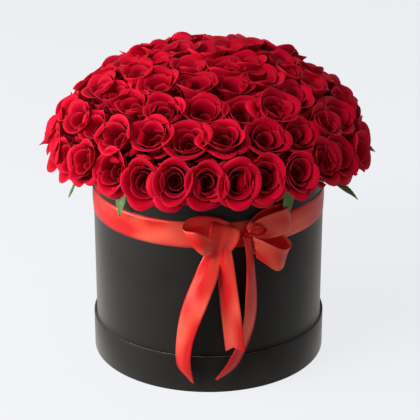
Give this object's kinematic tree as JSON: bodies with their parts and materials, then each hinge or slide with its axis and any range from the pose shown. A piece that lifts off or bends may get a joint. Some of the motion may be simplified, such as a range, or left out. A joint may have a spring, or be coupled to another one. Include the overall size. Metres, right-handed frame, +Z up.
{
  "type": "flower box",
  "caption": "Round hat box of dense red roses in a dome, standing in its own lid and tied with a satin ribbon and bow.",
  "frame": {"origin": "centre of the underside of the lid tray, the face that the object stands on", "axes": "+Z up along the axis of the box; the bow is at the front, on -Y; +X is to the viewer's right"},
  "size_m": [0.4197, 0.4201, 0.4109],
  "materials": {
    "black_board": "matte",
    "satin_ribbon": "satin",
    "clear_film": "gloss",
    "floral_foam": "matte",
    "green_stem": "matte",
    "rose_petal": "satin",
    "rose_leaf": "satin"
  },
  "bodies": {
    "lid_tray": {"lid_disc": "black_board", "lid_rim": "black_board"},
    "box": {"box_floor": "black_board", "box_wall": "black_board", "ribbon_band": "satin_ribbon", "bow_knot": "satin_ribbon", "bow_loop_left": "satin_ribbon", "bow_loop_upper": "satin_ribbon", "bow_loop_lower": "satin_ribbon", "ribbon_tail_left": "satin_ribbon", "ribbon_tail_middle": "satin_ribbon", "ribbon_tail_right": "satin_ribbon"},
    "arrangement": {"liner_film": "clear_film", "foam_upright_blocks": "floral_foam", "foam_top_blocks": "floral_foam", "stems_ring_1": "green_stem", "stems_ring_2": "green_stem", "stems_ring_3": "green_stem", "stems_ring_4": "green_stem", "stems_ring_5": "green_stem", "stems_ring_6": "green_stem", "calyxes_ring_1": "green_stem", "calyxes_ring_2": "green_stem", "calyxes_ring_3": "green_stem", "calyxes_ring_4": "green_stem", "calyxes_ring_5": "green_stem", "calyxes_ring_6": "green_stem", "roses_ring_1": "rose_petal", "roses_ring_2": "rose_petal", "roses_ring_3": "rose_petal", "roses_ring_4": "rose_petal", "roses_ring_5": "rose_petal", "roses_ring_6": "rose_petal", "leaf_left": "rose_leaf", "leaf_front_left": "rose_leaf", "leaf_front_right": "rose_leaf", "leaf_right": "rose_leaf", "leaves_back": "rose_leaf"}
  },
  "joints": [
    {"name": "box_lift", "type": "slide", "parent": "lid_tray", "child": "box", "axis": [0, 0, 1], "range_m": [0, 0.08]},
    {"name": "arrangement_lift", "type": "slide", "parent": "box", "child": "arrangement", "axis": [0, 0, 1], "range_m": [0, 0.27]}
  ]
}
